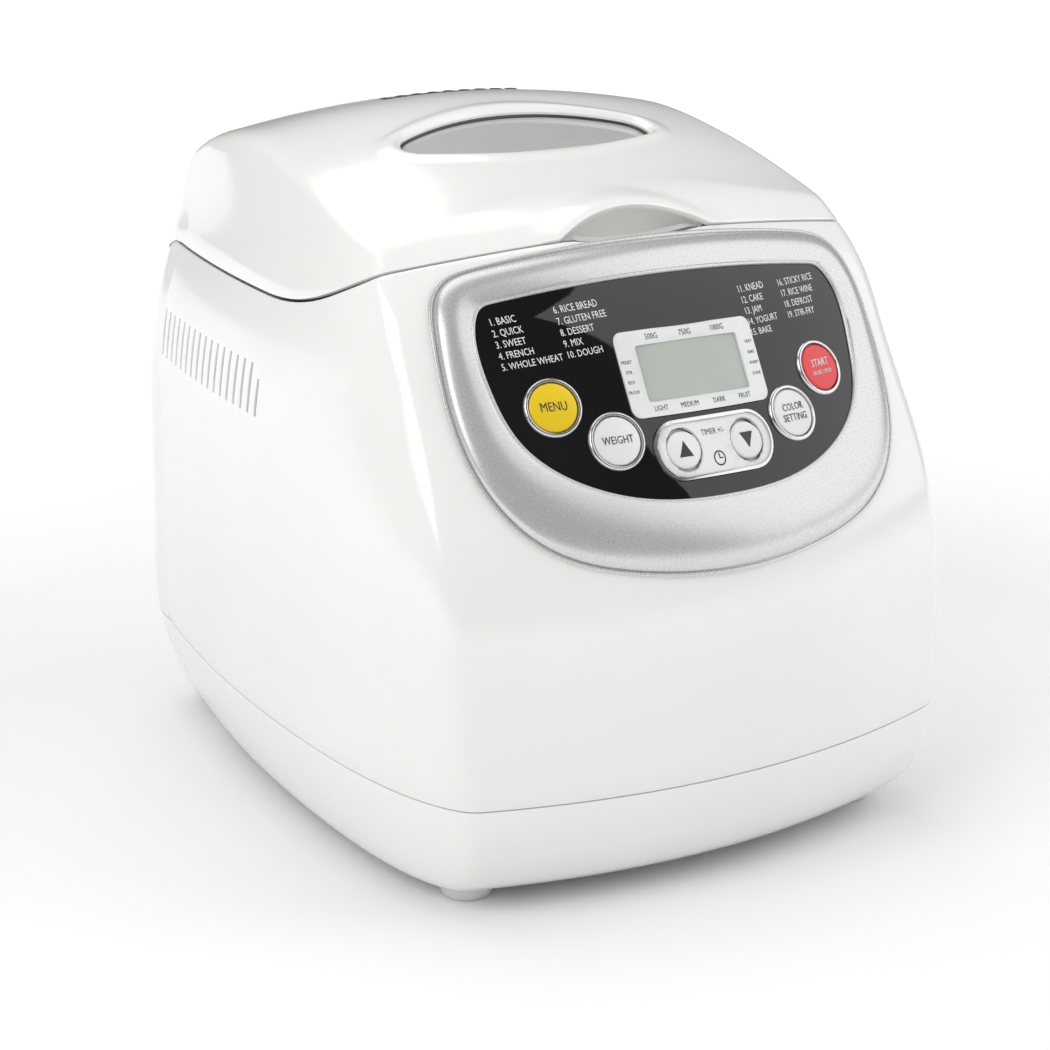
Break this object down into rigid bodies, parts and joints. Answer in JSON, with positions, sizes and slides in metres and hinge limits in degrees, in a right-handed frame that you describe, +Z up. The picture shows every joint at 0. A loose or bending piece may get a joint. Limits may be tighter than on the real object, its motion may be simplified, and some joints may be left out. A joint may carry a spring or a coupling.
{
  "type": "bread machine",
  "caption": "Countertop bread machine: bowed barrel casing, hinged lid with a viewing window, sloped key panel, lift-out pan with a kneading paddle, belt drive.",
  "frame": {"origin": "on the table under the centre of the machine", "axes": "+Z up, +Y to the back along the depth, +X to the right along the width; the key panel faces -Y"},
  "size_m": [0.2722, 0.3348, 0.295],
  "materials": {
    "white_gloss": "gloss",
    "white_satin": "satin",
    "silver_bezel": "satin metallic paint",
    "black_panel": "gloss",
    "silver_trim": "satin",
    "yellow_button": "gloss",
    "red_button": "gloss",
    "lcd_grey": "satin",
    "window_clear": "clear",
    "seal_rubber": "matte",
    "dark_plastic": "satin",
    "screw_steel": "zinc plated",
    "sheet_steel": "brushed",
    "shaft_steel": "ground",
    "element_sheath": "oxidised",
    "cast_aluminium": "cast",
    "nonstick": "non-stick coated",
    "bronze": "sintered",
    "pulley_nylon": "matte",
    "motor_can": "satin",
    "board_green": "satin",
    "hinge_plastic": "matte"
  },
  "bodies": {
    "root": {"baking_chamber": "sheet_steel", "base_screws": "screw_steel", "base_tray": "white_gloss", "bezel": "silver_bezel", "body_shell": "white_gloss", "button_rings": "silver_trim", "chamber_standoffs": "sheet_steel", "chassis_plate": "sheet_steel", "control_board": "board_green", "control_panel": "black_panel", "cord_gland": "seal_rubber", "drive_bearing": "bronze", "drive_belt": "seal_rubber", "element_supports": "sheet_steel", "element_terminals": "sheet_steel", "foot_pads": "seal_rubber", "heating_element": "element_sheath", "hinge_brackets": "hinge_plastic", "hinge_pins": "screw_steel", "lcd_frame": "silver_trim", "lcd_screen": "lcd_grey", "motor_body": "motor_can", "motor_bracket": "sheet_steel", "motor_capacitor": "dark_plastic", "motor_screws": "screw_steel", "pan_socket": "sheet_steel", "power_board": "board_green", "power_components": "dark_plastic", "tact_switches": "dark_plastic", "temperature_sensor": "sheet_steel", "timer_plate": "white_satin", "top_deck": "white_satin"},
    "lid": {"lid_outer": "white_gloss", "lid_inner": "white_satin", "window_glass": "window_clear", "window_seal": "seal_rubber", "window_inner_glass": "window_clear", "lid_vent_grille": "dark_plastic", "lid_seal": "seal_rubber", "lid_screws": "screw_steel", "hinge_ears": "hinge_plastic"},
    "pan": {"bread_pan": "nonstick", "pan_base": "cast_aluminium", "pan_bearing": "bronze", "pan_ears": "cast_aluminium"},
    "pan_bail": {"pan_handle": "shaft_steel"},
    "paddle": {"pan_shaft": "shaft_steel", "pan_dog": "cast_aluminium", "kneading_paddle": "nonstick"},
    "drive": {"drive_shaft": "shaft_steel", "large_pulley": "pulley_nylon", "drive_coupling": "cast_aluminium"},
    "motor_rotor": {"motor_shaft": "shaft_steel", "motor_pulley": "pulley_nylon"},
    "menu_button": {"menu_button": "yellow_button"},
    "weight_button": {"weight_button": "silver_trim"},
    "timer_up_button": {"timer_up_button": "silver_trim"},
    "timer_down_button": {"timer_down_button": "silver_trim"},
    "color_button": {"color_button": "silver_trim"},
    "start_button": {"start_button": "red_button"}
  },
  "joints": [
    {"name": "lid_hinge", "type": "hinge", "parent": "root", "child": "lid", "pos_m": [0, 0.15, 0.238], "axis": [-1, 0, 0], "range_deg": [0, 78]},
    {"name": "pan_lift", "type": "slide", "parent": "root", "child": "pan", "axis": [0, 0, 1], "range_m": [0, 0.014]},
    {"name": "handle_swing", "type": "hinge", "parent": "pan", "child": "pan_bail", "pos_m": [0, 0.028, 0.196], "axis": [-1, 0, 0], "range_deg": [0, 180]},
    {"name": "drive_spin", "type": "hinge", "parent": "root", "child": "drive", "pos_m": [0, 0.028, 0.03], "axis": [0, 0, 1], "continuous": true},
    {"name": "paddle_spin", "type": "hinge", "parent": "pan", "child": "paddle", "pos_m": [0, 0.028, 0.09], "axis": [0, 0, 1], "continuous": true},
    {"name": "motor_spin", "type": "hinge", "parent": "root", "child": "motor_rotor", "pos_m": [-0.062, -0.098, 0.03], "axis": [0, 0, 1], "continuous": true},
    {"name": "menu_button_press", "type": "slide", "parent": "root", "child": "menu_button", "axis": [0.1784, 0.8539, -0.4888], "range_m": [0, 0.001], "stiffness_N_per_m": 600, "springref_m": -0.0005},
    {"name": "weight_button_press", "type": "slide", "parent": "root", "child": "weight_button", "axis": [0.1179, 0.8574, -0.5009], "range_m": [0, 0.001], "stiffness_N_per_m": 600, "springref_m": -0.0005},
    {"name": "timer_up_button_press", "type": "slide", "parent": "root", "child": "timer_up_button", "axis": [0.0422, 0.8666, -0.4973], "range_m": [0, 0.001], "stiffness_N_per_m": 600, "springref_m": -0.0005},
    {"name": "timer_down_button_press", "type": "slide", "parent": "root", "child": "timer_down_button", "axis": [-0.0422, 0.8666, -0.4973], "range_m": [0, 0.001], "stiffness_N_per_m": 600, "springref_m": -0.0005},
    {"name": "color_button_press", "type": "slide", "parent": "root", "child": "color_button", "axis": [-0.1179, 0.8574, -0.5009], "range_m": [0, 0.001], "stiffness_N_per_m": 600, "springref_m": -0.0005},
    {"name": "start_button_press", "type": "slide", "parent": "root", "child": "start_button", "axis": [-0.1784, 0.8539, -0.4888], "range_m": [0, 0.001], "stiffness_N_per_m": 600, "springref_m": -0.0005}
  ],
  "couplings": [
    {"joint": "paddle_spin", "follows": "drive_spin", "ratio": 1},
    {"joint": "motor_spin", "follows": "drive_spin", "ratio": 4.6}
  ]
}
